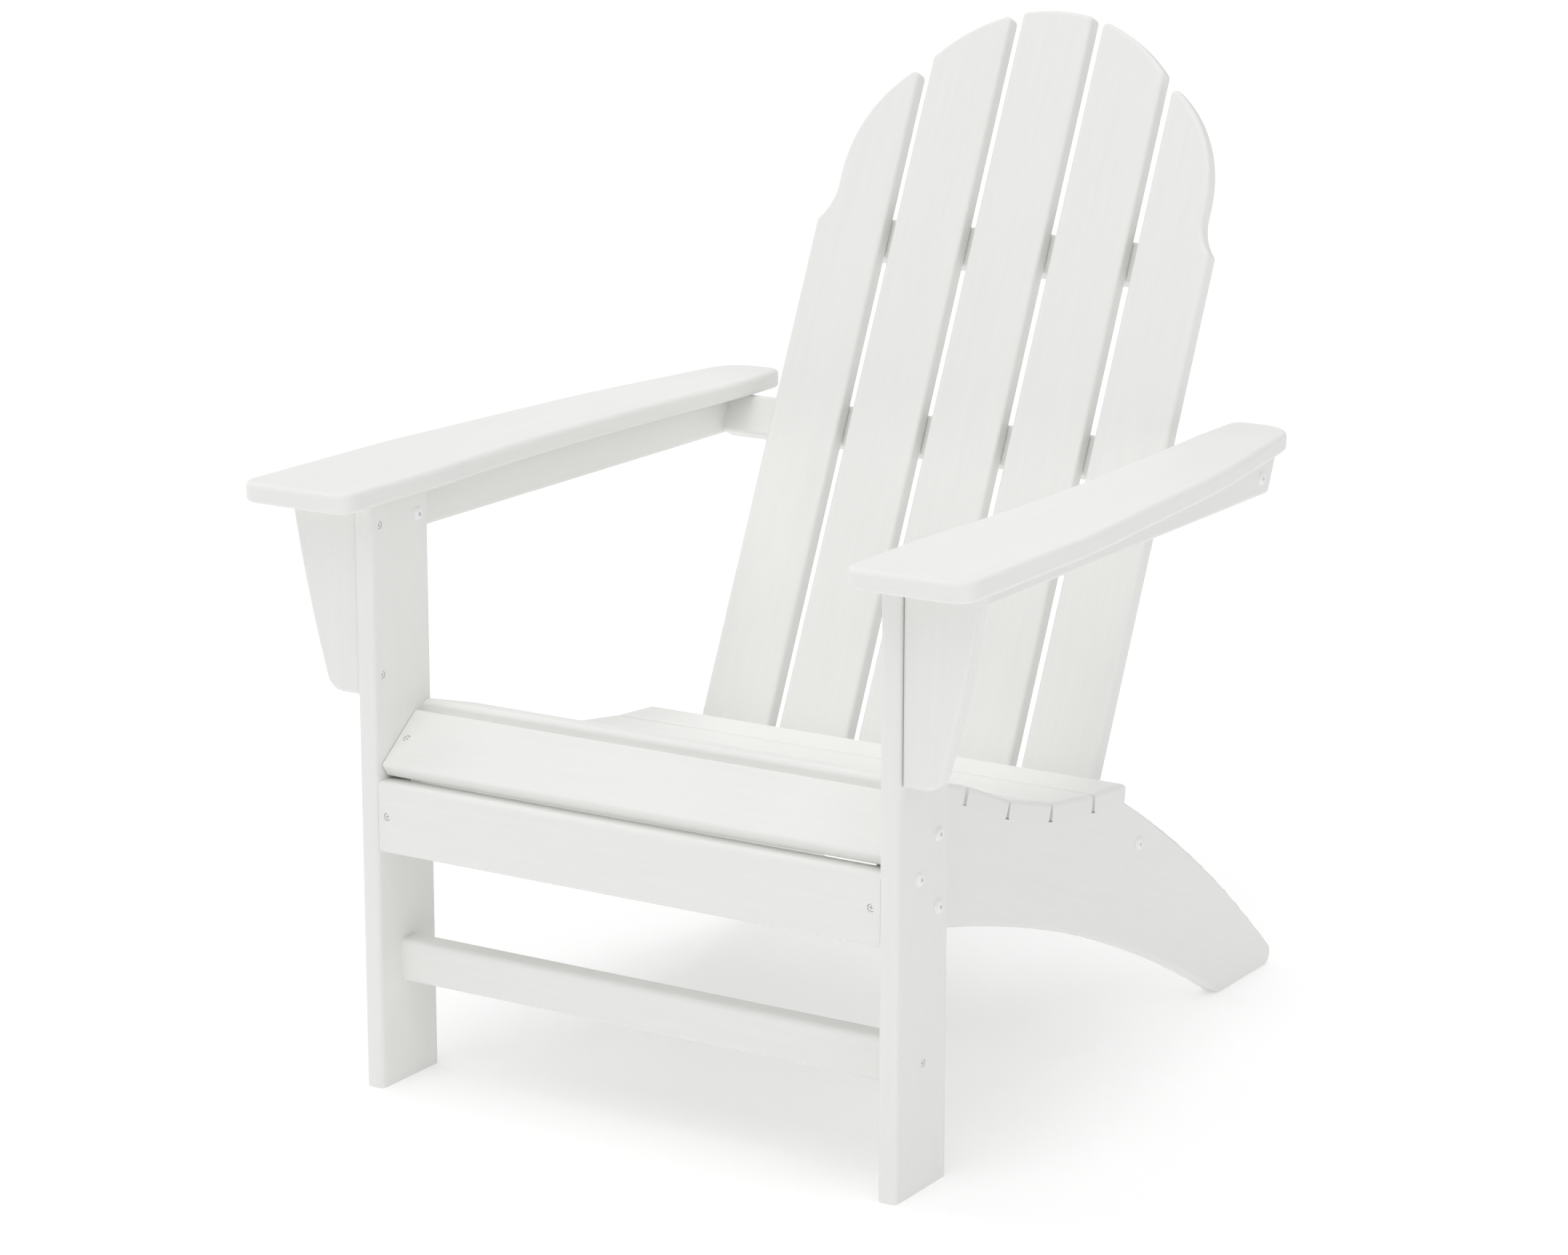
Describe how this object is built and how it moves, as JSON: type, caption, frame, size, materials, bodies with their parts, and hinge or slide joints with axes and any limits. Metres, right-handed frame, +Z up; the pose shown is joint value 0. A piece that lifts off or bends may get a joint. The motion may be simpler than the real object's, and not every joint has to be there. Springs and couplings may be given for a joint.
{
  "type": "adirondack chair",
  "caption": "Slatted garden chair with a fanned, reclined arched back, a dished slatted seat, wide flat arms on brackets and long raked rear legs.",
  "frame": {"origin": "centre of the whole chair's footprint box, on the ground", "axes": "+Z up, +X towards the sitter's left hand, -Y the way the sitter faces"},
  "size_m": [0.7666, 0.8652, 0.9529],
  "materials": {
    "white_board": "matte, lightly brushed along each board",
    "white_bolt": "white coating",
    "steel": "stainless steel"
  },
  "bodies": {
    "root": {"apron_screws": "steel", "arm_bracket_left": "white_board", "arm_bracket_right": "white_board", "arm_left": "white_board", "arm_rail_bolts": "white_bolt", "arm_rail_left": "white_board", "arm_rail_nuts": "steel", "arm_rail_right": "white_board", "arm_right": "white_board", "arm_screws": "steel", "back_rail_lower": "white_board", "back_rail_middle": "white_board", "back_rail_upper": "white_board", "back_slat_center": "white_board", "back_slat_inner_left": "white_board", "back_slat_inner_right": "white_board", "back_slat_outer_left": "white_board", "back_slat_outer_right": "white_board", "back_slat_screws": "steel", "barrel_nuts": "steel", "bracket_screws": "steel", "front_apron": "white_board", "front_leg_left": "white_board", "front_leg_right": "white_board", "front_stretcher": "white_board", "leg_bolt_nuts": "steel", "leg_bolts": "white_bolt", "lower_rail_bolts": "white_bolt", "middle_rail_bolts": "white_bolt", "nose_slat_screws": "steel", "seat_nose_slat": "white_board", "seat_slat_1": "white_board", "seat_slat_2": "white_board", "seat_slat_3": "white_board", "seat_slat_4": "white_board", "seat_slat_5": "white_board", "seat_slat_screws": "steel", "stretcher_screws": "steel", "stringer_left": "white_board", "stringer_right": "white_board"}
  },
  "joints": []
}
